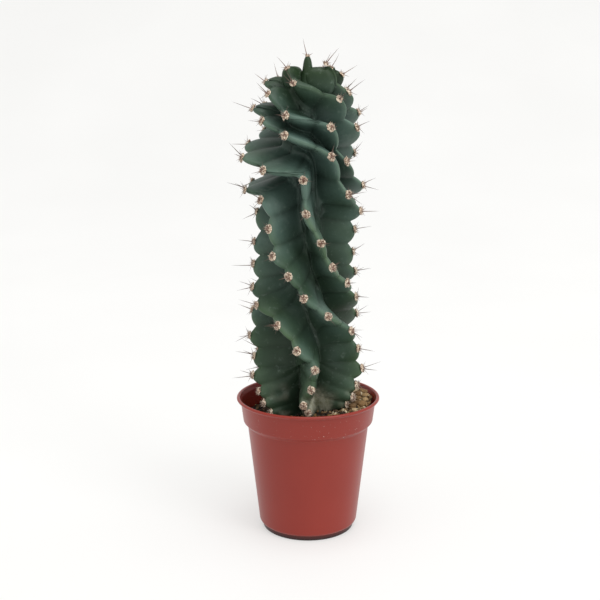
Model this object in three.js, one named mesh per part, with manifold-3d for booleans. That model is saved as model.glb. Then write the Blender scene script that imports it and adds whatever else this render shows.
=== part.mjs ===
// A tall spiral-ribbed columnar cactus in its plastic nursery pot.
// Millimetres, +Z up, origin at the bottom centre of the pot, front of the plant towards -Y.
// Turns are in degrees round the pot's axis: 0 at the front, growing towards +X.

import * as THREE from 'three';
import { mergeVertices } from 'three/addons/utils/BufferGeometryUtils.js';
import Module from 'manifold-3d';

const wasm = await Module();
wasm.setup();

// ---------- sizes ----------

const pot = {
  height: 100,
  lipRadius: 52.5, // outside of the rolled lip, the pot's widest
  lipDepth: 2.4, // lip, top to underside
  lipWidth: 2.6, // lip, inside to outside
  lipOverhang: 2.9, // lip's edge beyond the collar's top
  lipChamfer: 0.7, // cut under the lip, and where it meets the collar
  lipBlend: 1, // fillet between the lip's inside and the collar
  collarHeight: 18, // from the rim down to the shoulder
  collarFlare: 1.9, // the collar's top beyond its bottom
  shoulderHeight: 3, // slope from the collar in to the wall
  shoulderStep: 3.1, // the collar's bottom beyond the wall's top
  wallTaper: 8.2, // the wall's top beyond its bottom
  wall: 1.2,
  bottomEdge: 3.2, // rounding between wall and floor
  footInset: 2.6, // the wall's bottom beyond the foot
  footWidth: 2.2,
  footHeight: 3.4,
  floor: 1.6,
  drainHoles: 6,
  drainRadius: 4,
  drainInset: 4.6, // solid floor left between a drain hole and the foot
};
pot.collarTopRadius = pot.lipRadius - pot.lipOverhang;
pot.collarBottomRadius = pot.collarTopRadius - pot.collarFlare;
pot.wallTopRadius = pot.collarBottomRadius - pot.shoulderStep;
pot.wallBottomRadius = pot.wallTopRadius - pot.wallTaper;
pot.footRadius = pot.wallBottomRadius - pot.footInset;
pot.drainRing = pot.footRadius - pot.footWidth - pot.drainInset - pot.drainRadius;

const soil = {
  belowRim: 10.5, // surface at the axis, below the rim
  tilt: 0.125, // rise per millimetre towards +X
  mound: 0.8, // heap against the wall on the right
  moundRadius: 16,
  moundInset: 6, // the heap's top from the wall, and as far behind the middle
  lumps: 0.5, // height of the unevenness
  lumpLength: 12, // from one lump to the next
};

const stem = {
  height: 240, // highest rib top above the rim
  reach: 40, // usual crest distance from the axis
  footRoom: 9.24, // left between the ribs' foot and the soil's edge
  core: 8, // least distance of a valley from the axis
  crownCore: 4, // the same, near the top
  coreBlend: 1.5, // rounding where a valley meets the core
  valleyDepth: 27, // from crest to valley where the ribs stand widest apart
  edge: 4, // bluntness of a rib's edge where its flanks slope
  finHalf: 5.2, // half thickness of a rib where it stands out as a fin, in the upper half
  finPower: 2.6, // steepness of a fin's flank
  finSwell: 0.2, // share by which a fin is thicker below an areole
  blend: 0.8, // rounding where two ribs meet
  floorEase: 0.3, // levelling of the valley floor, as a share of its depth
  bump: 5.2, // depth of the notch above each areole
  notchPlace: 0.34, // place of the notch between an areole and the next one up
  droop: 10, // most that a rib falls, or rises near the top, from valley to crest
  shoulder: 1.2, // rise of the rounded shoulders over the last ring
  dip: 2.5, // fall from there to the middle of the top
  knobHeight: 12.5, // finger-like knob, from the middle of the top to its tip
  knobRadius: 2.8,
  knobForward: 8.5, // the knob's distance in front of the axis
  knobRoot: 6, // hidden length of the knob
  belowRim: 16, // the ribs run on this far below the rim
  rootLength: 30, // root stub below the ribs
  rootRadius: 9,
  rootTip: 3, // pointed end of the root stub
};

const spine = {
  radius: 0.45,
  centralLength: 12.5,
  radialLength: 5.6,
  radials: 4,
  spread: 1.12, // radials' lean from the way out, in radians
  centralLean: 0.35, // most that a central spine leans to one side, as a slope
  centralRise: 0.15, // slope at which centrals point upwards
  lengthSpread: 0.16, // most that a spine is longer or shorter than usual, as a share
};

const areole = {
  radius: 3.1,
  thickness: 1.7,
  lowest: 4, // count from the soil of the lowest one that still bears spines worth a piece
  leastReach: 19, // distance from the axis, as drawn, of the highest one that has a piece
};

const grit = {
  count: 12,
  size: 2.6, // usual half width
  sizeSpread: 0.18, // most that a grain is larger or smaller than usual, as a share
  pitch: 1.95, // from grain to grain along the wall, in grain sizes
  rowGap: 1.9, // between the outer and the inner row, in grain sizes
  wallGap: 1.6, // from the wall to a grain's middle, in grain sizes
  length: 1.15, // a grain's length and height, for a width of 1
  height: 0.78,
  roughness: 0.12, // most that a grain's corner stands in or out, as a share
  firstTurn: 52,
};

const gap = 0.35; // left between pieces that touch
const flankGap = 1.2; // the same, along the axis' radius, where a flank is steep
const crestSteps = 8; // points on a crest from one areole to the next
const columnsPerRib = 9;
const stemRows = 64;
const rootRows = 3;
const capRings = 6;
const potSegments = 48;
const soilSegments = 36;
const soilRings = 8;
const padSides = 6;
const padBands = 4;
const spineSides = 3;

// Areoles of each rib from the soil upwards: [height above the rim, turn, reach].
// Ribs are in order round the stem, drawn for a 240 mm stem whose crests stand 40 mm out.
// The last place of each rib only leads its crest over the top: it bears no areole.
// Near the soil they are drawn for a foot whose crests stand 37 mm out.
const drawnHeight = 240;
const drawnReach = 40;
const drawnFootReach = 37;
const ribs = [
  [
    [-3, 0, 34], [3, -5, 36], [15, 3, 38], [30, 7, 40], [44, -11, 41], [61, -31, 41],
    [72, -62, 41], [83, -78, 40], [99, -82, 39], [114, -88, 38], [134, -103, 37], [148, -135, 40],
    [162, -165, 42], [176, -195, 42], [190, -225, 40], [205, -258, 36], [219, -285, 29], [238, -315, 17],
    [240, -350, 10],
  ],
  [
    [-2, 58, 33], [4, 60, 37], [12, 68, 38], [23, 77, 40], [39, 70, 39], [55, 50, 40],
    [68, 20, 41], [81, -4, 41], [96, -19, 41], [109, -36, 41], [128, -40, 42], [147, -50, 42],
    [152, -82, 44], [155, -112, 43], [165, -140, 41], [180, -168, 39], [195, -195, 36], [208, -222, 32],
    [220, -248, 28], [231, -272, 23], [236, -297, 17], [240, -328, 9],
  ],
  [
    [-3, 118, 33], [4, 120, 37], [15, 127, 38], [28, 133, 40], [43, 130, 40], [58, 115, 39],
    [75, 78, 35], [88, 50, 36], [101, 26, 38], [119, 13, 40], [139, -2, 42], [162, -4, 44],
    [168, -41, 46], [175, -71, 48], [183, -103, 43], [192, -130, 40], [206, -155, 35], [221, -182, 28],
    [235, -212, 18], [239, -247, 10],
  ],
  [
    [-3, 180, 33], [4, 180, 37], [16, 186, 39], [30, 190, 40], [45, 184, 40], [60, 165, 39],
    [76, 135, 38], [90, 112, 37], [105, 100, 33], [122, 88, 33], [137, 78, 38], [151, 43, 40],
    [177, 23, 40], [191, -23, 40], [200, -56, 38], [208, -82, 38], [210, -112, 34], [217, -142, 28],
    [229, -170, 19], [236, -200, 10],
  ],
  [
    [-3, 240, 33], [4, 240, 37], [17, 244, 39], [31, 246, 40], [46, 234, 40], [61, 218, 40],
    [77, 194, 39], [93, 172, 38], [108, 155, 38], [124, 146, 38], [140, 128, 38], [154, 92, 38],
    [172, 52, 33], [197, 25, 36], [204, -24, 37], [218, -54, 34], [226, -85, 29], [228, -115, 23],
    [235, -150, 13],
  ],
  [
    [-8, 304, 32], [-1, 299, 36], [7, 290, 38], [18, 282, 41], [32, 280, 40], [47, 277, 42],
    [63, 262, 41], [79, 238, 40], [95, 215, 40], [111, 202, 40], [128, 190, 40], [144, 172, 40],
    [159, 148, 39], [176, 118, 37], [196, 72, 35], [215, 45, 30], [225, -21, 28], [235, -44, 20],
    [240, -72, 11],
  ],
];

// ---------- small helpers ----------

const radians = (degrees) => (degrees * Math.PI) / 180;
const mix = (a, b, share) => a + (b - a) * share;
const clamp = (value, low, high) => Math.min(Math.max(value, low), high);

// Straight-line interpolation through [x, y] points, flat beyond both ends.
function ramp(points, x) {
  const next = points.findIndex((point) => point[0] > x);
  if (next === 0) return points[0][1];
  if (next < 0) return points[points.length - 1][1];
  const [low, high] = [points[next - 1], points[next]];
  return mix(low[1], high[1], (x - low[0]) / (high[0] - low[0]));
}

// A repeatable series of numbers from 0 to 1.
function makeDice(seed) {
  let state = seed;
  return () => {
    state = (state * 16807) % 2147483647;
    return state / 2147483647;
  };
}

// The point at a distance from the axis, a turn in degrees and a height.
function atTurn(reach, turn, height) {
  const angle = radians(turn);
  return new THREE.Vector3(reach * Math.sin(angle), -reach * Math.cos(angle), height);
}

function material(color, roughness) {
  return new THREE.MeshStandardMaterial({ color, roughness, metalness: 0 });
}

function toSolid(geometry) {
  const bare = geometry.clone();
  bare.deleteAttribute('normal');
  bare.deleteAttribute('uv');
  const merged = mergeVertices(bare, 1e-4);
  return new wasm.Manifold(new wasm.Mesh({
    numProp: 3,
    vertProperties: new Float32Array(merged.attributes.position.array),
    triVerts: new Uint32Array(merged.index.array),
  }));
}

function toGeometry(solid) {
  const mesh = solid.getMesh();
  const geometry = new THREE.BufferGeometry();
  geometry.setAttribute('position', new THREE.BufferAttribute(mesh.vertProperties, mesh.numProp));
  geometry.setIndex(new THREE.BufferAttribute(mesh.triVerts, 1));
  geometry.computeVertexNormals();
  return geometry;
}

// The largest of the separate bodies in a solid.
function largestBody(solid) {
  const bodies = solid.decompose();
  return bodies.reduce((best, body) => (body.volume() > best.volume() ? body : best));
}

// A closed skin over rings of points, all with the same count, from the lowest ring to the
// highest, ending in one pole point at the bottom and one at the top.
function skin(rings, bottom, top) {
  const count = rings[0].length;
  const points = [bottom, ...rings.flat(), top];
  const positions = points.flatMap((point) => [point.x, point.y, point.z]);
  const index = [];
  const at = (ring, column) => 1 + ring * count + (column % count);
  for (let column = 0; column < count; column += 1) {
    index.push(0, at(0, column + 1), at(0, column));
    index.push(points.length - 1, at(rings.length - 1, column), at(rings.length - 1, column + 1));
    for (let ring = 0; ring < rings.length - 1; ring += 1) {
      index.push(at(ring, column), at(ring, column + 1), at(ring + 1, column + 1));
      index.push(at(ring, column), at(ring + 1, column + 1), at(ring + 1, column));
    }
  }
  const geometry = new THREE.BufferGeometry();
  geometry.setAttribute('position', new THREE.Float32BufferAttribute(positions, 3));
  geometry.setIndex(index);
  return geometry;
}

// ---------- pot ----------

// Radius of the pot's inner face at a height, below the shoulder.
function innerWallRadius(height) {
  const top = pot.height - pot.collarHeight - pot.shoulderHeight;
  const share = clamp((height - pot.footHeight) / (top - pot.footHeight), 0, 1);
  return mix(pot.wallBottomRadius, pot.wallTopRadius, share) - pot.wall;
}

function potProfile() {
  const collarBottom = pot.height - pot.collarHeight;
  const wallTop = collarBottom - pot.shoulderHeight;
  const lipBottom = pot.height - pot.lipDepth;
  const lipInside = pot.lipRadius - pot.lipWidth;
  const floorTop = pot.footHeight + pot.floor;
  const edgeCentre = pot.wallBottomRadius - pot.bottomEdge;
  const profile = [
    [0, pot.footHeight],
    [pot.footRadius - pot.footWidth, pot.footHeight],
    [pot.footRadius - pot.footWidth, 0],
    [pot.footRadius, 0],
    [pot.footRadius, pot.footHeight],
  ];
  for (const share of [0.25, 0.5, 0.75, 1]) {
    const angle = (share * Math.PI) / 2;
    profile.push([
      edgeCentre + pot.bottomEdge * Math.sin(angle),
      pot.footHeight + pot.bottomEdge * (1 - Math.cos(angle)),
    ]);
  }
  profile.push([pot.wallTopRadius, wallTop], [pot.collarBottomRadius, collarBottom]);
  profile.push([pot.collarTopRadius, lipBottom - pot.lipChamfer]);
  profile.push([pot.lipRadius - pot.lipChamfer, lipBottom]);
  for (const share of [0, 0.25, 0.5, 0.75, 1]) {
    const angle = share * Math.PI;
    profile.push([
      pot.lipRadius - pot.lipWidth / 2 + (pot.lipWidth / 2) * Math.cos(angle),
      pot.height - pot.lipWidth / 2 + (pot.lipWidth / 2) * Math.sin(angle),
    ]);
  }
  profile.push([lipInside - pot.lipBlend, lipBottom - pot.lipBlend]);
  profile.push([pot.collarBottomRadius - pot.wall, collarBottom]);
  profile.push([pot.wallTopRadius - pot.wall, wallTop]);
  profile.push([pot.wallBottomRadius - pot.wall, floorTop + pot.bottomEdge / 2]);
  profile.push([edgeCentre, floorTop], [0, floorTop]);
  return profile.map(([radius, height]) => new THREE.Vector2(radius, height));
}

function drainHole(turn) {
  const length = pot.floor + pot.footHeight;
  const geometry = new THREE.CylinderGeometry(pot.drainRadius, pot.drainRadius, length * 2, 16);
  geometry.rotateX(Math.PI / 2);
  const centre = atTurn(pot.drainRing, turn, length);
  geometry.translate(centre.x, centre.y, centre.z);
  return toSolid(geometry);
}

function makePot() {
  const lathe = new THREE.LatheGeometry(potProfile(), potSegments);
  lathe.rotateX(Math.PI / 2);
  let solid = toSolid(lathe);
  for (let hole = 0; hole < pot.drainHoles; hole += 1) {
    solid = solid.subtract(drainHole((hole * 360) / pot.drainHoles));
  }
  return new THREE.Mesh(toGeometry(solid), material('#9c4336', 0.42));
}

// ---------- stem ----------

// How much wider than drawn the stem stands at a height above the rim. The foot keeps its room
// in the pot, and the stem comes to its full reach above it.
const footEnds = 4;
const fullReachFrom = 40;
function reachScale(above) {
  const foot = (soilRadius(pot.height - soil.belowRim) - stem.footRoom) / drawnFootReach;
  const share = clamp((above - footEnds) / (fullReachFrom - footEnds), 0, 1);
  return mix(foot, stem.reach / drawnReach, share);
}

// A curve through the areoles of a rib that never overshoots between two of them.
function traceCrest(areoles) {
  const points = areoles.map(([height, turn, reach]) => [
    pot.height + (height * stem.height) / drawnHeight,
    turn,
    reach * reachScale(height),
  ]);
  const slope = (place, axis) => {
    if (place === 0) return points[1][axis] - points[0][axis];
    const before = points[place][axis] - points[place - 1][axis];
    if (place === points.length - 1) return before;
    const after = points[place + 1][axis] - points[place][axis];
    if (before * after <= 0) return 0;
    const limit = 3 * Math.min(Math.abs(before), Math.abs(after));
    const mean = (before + after) / 2;
    return Math.sign(mean) * Math.min(Math.abs(mean), limit);
  };
  const crest = [];
  for (let place = 0; place < points.length - 1; place += 1) {
    for (let step = 0; step < crestSteps; step += 1) {
      const s = step / crestSteps;
      const value = (axis) => (
        (2 * s ** 3 - 3 * s ** 2 + 1) * points[place][axis]
        + (s ** 3 - 2 * s ** 2 + s) * slope(place, axis)
        + (3 * s ** 2 - 2 * s ** 3) * points[place + 1][axis]
        + (s ** 3 - s ** 2) * slope(place + 1, axis)
      );
      crest.push({ height: value(0), turn: value(1), reach: value(2), place: place + s });
    }
  }
  const [height, turn, reach] = points[points.length - 1];
  crest.push({ height, turn, reach, place: points.length - 1 });
  return crest;
}

const crests = ribs.map(traceCrest);
const crownDrop = 4; // the last ring of skin lies this far below the highest rib top, as drawn
const crownHeight = pot.height + (stem.height * (drawnHeight - crownDrop)) / drawnHeight;
const ribFoot = pot.height - stem.belowRim;

function crestTurn(crest, height) {
  const next = crest.findIndex((point) => point.height > height);
  if (next === 0) return crest[0].turn;
  if (next < 0) return crest[crest.length - 1].turn;
  const [low, high] = [crest[next - 1], crest[next]];
  return mix(low.turn, high.turn, (height - low.height) / (high.height - low.height));
}

// Nearest point of a crest to a point of the unrolled stem: its distance, reach and place.
function nearestOnCrest(crest, turn, height, unroll) {
  const across = (point) => {
    const difference = ((((point.turn - turn + 180) % 360) + 360) % 360) - 180;
    return radians(difference) * unroll;
  };
  let best = { distance: Infinity };
  for (let step = 0; step < crest.length - 1; step += 1) {
    const [from, to] = [crest[step], crest[step + 1]];
    const [x, y] = [across(from), from.height - height];
    const run = radians(to.turn - from.turn) * unroll;
    const rise = to.height - from.height;
    const share = clamp(-(x * run + y * rise) / (run * run + rise * rise), 0, 1);
    const distance = Math.hypot(x + share * run, y + share * rise);
    if (distance < best.distance) {
      best = {
        distance,
        reach: mix(from.reach, to.reach, share),
        place: mix(from.place, to.place, share),
      };
    }
  }
  return best;
}

// Notch above each areole and swelling below it, zero at the areole itself.
const notchSharpness = 0.8;
function notch(place) {
  const swelling = (along) => Math.abs(Math.sin(Math.PI * (along - stem.notchPlace))) ** notchSharpness;
  return swelling(0) - swelling(place - Math.floor(place));
}

// Shares of the full depth, notch and droop. Heights are above the rim, as drawn.
const valleyByHalfWidth = [[0, 0], [6, 0.52], [11, 0.88], [16, 1], [40, 1.04]];
const valleyByHeight = [[-16, 0.8], [5, 1], [120, 1], [160, 1.15], [210, 1.1], [234, 0.8]];
const bumpByHeight = [[-10, 0.45], [10, 1], [100, 1], [145, 0.9], [175, 1.4], [215, 1.3], [236, 0.6]];
const finByHeight = [[10, 0.1], [50, 0.35], [120, 0.6], [150, 0.8]];
const droopByHeight = [
  [-10, 0], [40, 0.3], [110, 0.7], [150, 0.9], [172, 0.5], [192, -0.5], [214, -1], [238, -1],
];
const widestByHeight = [[195, 1], [217, 0.75], [236, 0.45], [240, 0.25]];
const areoleRise = [[0, 0.1], [150, 0.15], [200, 0.4], [230, 0.9], [240, 2]]; // slope it faces up at
const notchFade = [[20, 0.97], [90, 0.6]]; // share of a notch that is gone at the valley
const unrollShare = 0.9; // the stem is unrolled at this share of its reach

const drawnAbove = (height) => ((height - pot.height) * drawnHeight) / stem.height;
const shareFallen = (distance) => 1 - Math.exp(-(distance ** stem.finPower));
const slopeFall = (distance) => distance ** 3 / (distance ** 2 + stem.edge ** 2);

// Levels the last of a fall from 0 to 1, so that the two flanks of a valley meet on one floor.
function easeFall(fall) {
  const rest = Math.hypot(1 - fall, stem.floorEase) - stem.floorEase;
  return fall > 1 ? fall : 1 - rest / (Math.hypot(1, stem.floorEase) - stem.floorEase);
}

// Share of the valley's depth that a flank has fallen at a distance from its crest. Low down it is
// blunt at the edge, then straight. Higher up it is a fin: a flat step with a little slope.
function flankFall(distance, half, above, dent) {
  const width = stem.finHalf * (1 - stem.finSwell * dent);
  const step = shareFallen(distance / width) / shareFallen(half / width);
  return easeFall(mix(slopeFall(distance) / slopeFall(half), step, ramp(finByHeight, above)));
}

// Distance of the stem's skin from the axis at a turn and a height.
function stemReach(turn, height) {
  const above = drawnAbove(height);
  const unroll = unrollShare * stem.reach;
  const near = crests
    .map((crest) => nearestOnCrest(crest, turn, height, unroll))
    .sort((a, b) => a.distance - b.distance)
    .slice(0, 2);
  const half = (near[0].distance + near[1].distance) / 2;
  const depth = stem.valleyDepth * ramp(valleyByHalfWidth, half) * ramp(valleyByHeight, above);
  const sides = near.map(({ distance, reach, place }) => {
    const flank = clamp(distance / half, 0, 1);
    const dent = notch(place);
    const cut = stem.bump * ramp(bumpByHeight, above) * dent * (1 - ramp(notchFade, above) * flank);
    return reach - cut - depth * flankFall(distance, half, above, dent);
  });
  const rounding = stem.blend * Math.log1p(Math.exp(-Math.abs(sides[0] - sides[1]) / stem.blend));
  const core = ramp([[170, stem.core], [225, stem.crownCore]], above);
  const proud = (Math.max(...sides) + rounding - core) / stem.coreBlend;
  return core + stem.coreBlend * (Math.max(proud, 0) + Math.log1p(Math.exp(-Math.abs(proud))));
}

// Rise of the skin above its own height, so that a rib falls towards its crest, or near the top rises.
function droopRise(reach, height) {
  const above = drawnAbove(height);
  const widest = stem.reach * ramp(widestByHeight, above);
  return stem.droop * ramp(droopByHeight, above) * Math.max(1 - reach / widest, 0);
}

// One ring of turns that keeps a column on each crest and spaces the others evenly between.
function ringTurns(height) {
  const turns = crests.map((crest) => crestTurn(crest, height));
  return turns.flatMap((turn, rib) => {
    const next = rib === turns.length - 1 ? turns[0] + 360 : turns[rib + 1];
    return Array.from({ length: columnsPerRib }, (_, column) => mix(turn, next, column / columnsPerRib));
  });
}

// Rise of the growing tip over the last ring: rounded shoulders, then a dip to the middle.
const shoulderPlace = 0.6; // below 1, the shoulders are nearer the last ring than the middle
function crownRise(share) {
  return stem.shoulder * Math.sin(Math.PI * share ** shoulderPlace) - stem.dip * share ** 2;
}

// The finger-like knob in front of the tip.
function knobSolid(base, allowance) {
  const radius = stem.knobRadius + allowance;
  const length = stem.knobHeight + stem.knobRoot + allowance;
  const geometry = new THREE.CapsuleGeometry(radius, length - 2 * radius, 3, 10);
  geometry.rotateX(Math.PI / 2);
  geometry.translate(0, -stem.knobForward, base - stem.knobRoot + length / 2);
  return toSolid(geometry);
}

// Blunt lobes that close the crown: middle (height above the rim, as drawn) and half size.
const crownLobes = [
  { middle: [7.6, -7, 226.3], half: [10.8, 8, 9.8] },
  { middle: [-10.8, -2, 228], half: [7.4, 8, 8.6] },
];
function lobeSolid({ middle, half }, allowance) {
  const geometry = new THREE.SphereGeometry(1, 16, 10);
  geometry.scale(...half.map((size) => size + allowance));
  const [x, y, above] = middle;
  geometry.translate(x, y, pot.height + (above * stem.height) / drawnHeight);
  return toSolid(geometry);
}

// The whole stem, grown outwards by an allowance.
const rootFlare = 1.6; // above 1, the root stub widens late
function stemSolid(allowance) {
  const rings = [];
  for (let row = 0; row < rootRows; row += 1) {
    const share = row / rootRows;
    const height = ribFoot - stem.rootLength * (1 - share) - allowance;
    rings.push(ringTurns(ribFoot).map((turn) => {
      const full = stemReach(turn, ribFoot) + allowance;
      return atTurn(mix(stem.rootRadius + allowance, full, share ** rootFlare), turn, height);
    }));
  }
  for (let row = 0; row <= stemRows; row += 1) {
    const height = mix(ribFoot, crownHeight, row / stemRows);
    rings.push(ringTurns(height).map((turn) => {
      const reach = stemReach(turn, height);
      return atTurn(reach + allowance, turn, height + droopRise(reach, height));
    }));
  }
  const edge = rings[rings.length - 1];
  const middle = edge.reduce((sum, point) => sum + point.z, 0) / edge.length;
  for (let ring = 1; ring < capRings; ring += 1) {
    const share = ring / capRings;
    rings.push(edge.map((point) => {
      const level = mix(point.z, middle, share) + crownRise(share) + allowance;
      return new THREE.Vector3(point.x * (1 - share), point.y * (1 - share), level);
    }));
  }
  const bottom = new THREE.Vector3(0, 0, rings[0][0].z - stem.rootTip);
  const tip = new THREE.Vector3(0, 0, middle + crownRise(1) + allowance);
  return crownLobes.reduce(
    (solid, lobe) => solid.add(lobeSolid(lobe, allowance)),
    toSolid(skin(rings, bottom, tip)).add(knobSolid(tip.z - allowance, allowance)),
  );
}

const stemBody = stemSolid(0);
const stemWithRoom = stemSolid(flankGap);

const [lowered, raised] = [-gap, gap].map((lift) => stemWithRoom.translate([0, 0, lift]));
const stemWithRoomAllRound = stemWithRoom.add(lowered).add(raised);

function makeStem() {
  return new THREE.Mesh(toGeometry(stemBody), material('#3c5a4b', 0.5));
}

// ---------- soil ----------

function soilHeight(x, y) {
  const heapX = innerWallRadius(pot.height) - soil.moundInset;
  const heap = Math.hypot(x - heapX, y - soil.moundInset) / soil.moundRadius;
  const wave = (2 * Math.PI) / soil.lumpLength;
  const lumps = Math.sin(wave * x) * Math.cos(wave * y) + Math.sin(wave * (x + 2 * y)) / 2;
  const level = pot.height - soil.belowRim + soil.tilt * x;
  return level + soil.mound * Math.exp(-heap * heap) + soil.lumps * lumps;
}

// Outer radius of the soil at a height, kept off the pot's inner face.
function soilRadius(height) {
  const collarBottom = pot.height - pot.collarHeight;
  if (height < collarBottom) return innerWallRadius(height) - gap * 2;
  const share = (height - collarBottom) / pot.collarHeight;
  return mix(pot.collarBottomRadius, pot.collarTopRadius, share) - pot.wall - gap * 3;
}

function makeSoil() {
  const floorTop = pot.footHeight + pot.floor + gap;
  const shoulder = pot.height - pot.collarHeight;
  const wallTop = shoulder - pot.shoulderHeight;
  const turns = Array.from({ length: soilSegments }, (_, column) => (column * 360) / soilSegments);
  const level = (radius, height) => turns.map((turn) => atTurn(radius, turn, height));
  const rings = [
    level(pot.wallBottomRadius - pot.bottomEdge - pot.wall, floorTop),
    level(soilRadius(floorTop + pot.bottomEdge) - gap, floorTop + pot.bottomEdge),
    level(soilRadius(wallTop), wallTop),
    level(pot.collarBottomRadius - pot.wall - gap * 2, shoulder + pot.shoulderHeight),
  ];
  const edge = soilRadius(pot.height - soil.belowRim) - gap;
  for (let ring = 0; ring < soilRings; ring += 1) {
    const radius = edge * (1 - ring / soilRings);
    rings.push(turns.map((turn) => {
      const point = atTurn(radius, turn, 0);
      point.z = soilHeight(point.x, point.y);
      return point;
    }));
  }
  const bottom = new THREE.Vector3(0, 0, floorTop);
  const centre = new THREE.Vector3(0, 0, soilHeight(0, 0));
  const solid = toSolid(skin(rings, bottom, centre)).subtract(stemWithRoom);
  return new THREE.Mesh(toGeometry(largestBody(solid)), material('#4a3524', 0.95));
}

// ---------- grit ----------

// One rough grain: a squashed many-sided lump.
function grainGeometry(size, dice) {
  const ball = new THREE.IcosahedronGeometry(size, 1);
  const geometry = mergeVertices(ball.deleteAttribute('normal').deleteAttribute('uv'));
  const position = geometry.attributes.position;
  for (let corner = 0; corner < position.count; corner += 1) {
    const swell = 1 + grit.roughness * (2 * dice() - 1);
    position.setXYZ(
      corner,
      position.getX(corner) * swell * grit.length,
      position.getY(corner) * swell,
      position.getZ(corner) * swell * grit.height,
    );
  }
  geometry.rotateZ(dice() * Math.PI);
  return geometry;
}

// Whether a grain in the inner row would lie clear of the stem.
function hasRoom(reach, turn) {
  const halfLength = grit.size * grit.length * (1 + grit.sizeSpread) * (1 + grit.roughness);
  const halfTurn = (halfLength / reach) * (180 / Math.PI);
  const height = pot.height - soil.belowRim + grit.size;
  const widest = Math.max(...[-1, 0, 1].map((side) => stemReach(turn + side * halfTurn, height)));
  return reach - halfLength > widest + flankGap;
}

// Grains lie along the wall on the right, every second one further in where the stem leaves room.
function addGrit(group) {
  const dice = makeDice(41);
  const outer = soilRadius(pot.height - soil.belowRim) - grit.size * grit.wallGap;
  const inner = outer - grit.rowGap * grit.size;
  const step = ((grit.size * grit.pitch) / outer) * (180 / Math.PI);
  const colours = ['#b08a52', '#c9ab72', '#8c6a3d'];
  let turn = grit.firstTurn - step;
  let inward = true;
  for (let grain = 0; grain < grit.count; grain += 1) {
    const size = grit.size * (1 + grit.sizeSpread * (2 * dice() - 1));
    const wasInward = inward;
    inward = !wasInward && hasRoom(inner, turn + step);
    turn += inward || wasInward ? step : 2 * step;
    const seat = atTurn(inward ? inner : outer, turn, 0);
    const geometry = grainGeometry(size, dice);
    const lift = size * grit.height * (1 + grit.roughness) + 2 * soil.lumps + gap;
    geometry.translate(seat.x, seat.y, soilHeight(seat.x, seat.y) + lift);
    const mesh = new THREE.Mesh(geometry, material(colours[grain % colours.length], 0.9));
    mesh.name = `grit_grain_${String(grain + 1).padStart(2, '0')}`;
    group.add(mesh);
  }
}

// ---------- areoles with their spines ----------

function spineSolid(root, direction, length) {
  const geometry = new THREE.ConeGeometry(spine.radius, length, spineSides, 1);
  geometry.translate(0, length / 2, 0);
  const up = new THREE.Vector3(0, 1, 0);
  geometry.applyQuaternion(new THREE.Quaternion().setFromUnitVectors(up, direction));
  geometry.translate(root.x, root.y, root.z);
  return toSolid(geometry);
}

// A felted pad on a rib's edge, joined with the spines that grow out of it.
function clusterSolid(crestPoint, dice) {
  const rise = ramp(areoleRise, drawnAbove(crestPoint.height));
  const out = atTurn(1, crestPoint.turn, rise).normalize();
  const side = new THREE.Vector3(0, 0, 1).cross(out).normalize();
  const up = out.clone().cross(side);
  const seat = atTurn(crestPoint.reach, crestPoint.turn, crestPoint.height);
  seat.z += droopRise(crestPoint.reach, crestPoint.height);
  const pad = new THREE.SphereGeometry(1, padSides, padBands);
  pad.applyMatrix4(new THREE.Matrix4().makeBasis(
    side.clone().multiplyScalar(areole.radius),
    up.clone().multiplyScalar(areole.radius),
    out.clone().multiplyScalar(areole.thickness + flankGap),
  ));
  pad.translate(seat.x, seat.y, seat.z);
  const root = seat.clone().addScaledVector(out, flankGap);
  const vary = (length) => length * (1 + spine.lengthSpread * (2 * dice() - 1));
  const lean = spine.centralLean * (2 * dice() - 1);
  const central = out.clone().addScaledVector(side, lean).addScaledVector(up, spine.centralRise);
  central.normalize();
  let solid = toSolid(pad);
  solid = solid.add(spineSolid(root, central, vary(spine.centralLength)));
  const first = dice() * Math.PI;
  for (let radial = 0; radial < spine.radials; radial += 1) {
    const angle = first + (radial * 2 * Math.PI) / spine.radials;
    const direction = out.clone().multiplyScalar(Math.cos(spine.spread));
    direction.addScaledVector(side, Math.sin(spine.spread) * Math.cos(angle));
    direction.addScaledVector(up, Math.sin(spine.spread) * Math.sin(angle));
    solid = solid.add(spineSolid(root, direction.normalize(), vary(spine.radialLength)));
  }
  return largestBody(solid.subtract(stemWithRoomAllRound));
}

// Every second areole of each rib has its own piece, staggered from rib to rib, up to the crown.
function addAreoles(group) {
  const letters = 'abcdef';
  crests.forEach((crest, rib) => {
    const dice = makeDice(97 + rib);
    const highest = ribs[rib].length - 2 - (rib % 2);
    for (let place = highest; place >= areole.lowest; place -= 2) {
      const [, , drawn] = ribs[rib][place];
      if (drawn < areole.leastReach) continue;
      const crestPoint = crest[place * crestSteps];
      const geometry = toGeometry(clusterSolid(crestPoint, dice));
      const mesh = new THREE.Mesh(geometry, material('#c9ab8f', 0.9));
      mesh.name = `spine_cluster_${letters[rib]}${String(place + 1).padStart(2, '0')}`;
      group.add(mesh);
    }
  });
}

// ---------- the whole object ----------

const group = new THREE.Group();
const pieces = { pot: makePot(), soil: makeSoil(), cactus_stem: makeStem() };
for (const [name, mesh] of Object.entries(pieces)) {
  mesh.name = name;
  group.add(mesh);
}
addGrit(group);
addAreoles(group);

export default group;
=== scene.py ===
# A tall spiral-ribbed cactus in its plastic nursery pot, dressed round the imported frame.
# Metres, +Z up, front towards -Y. Turns are degrees round the pot's axis: 0 in front, growing towards +X.
import math

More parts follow.
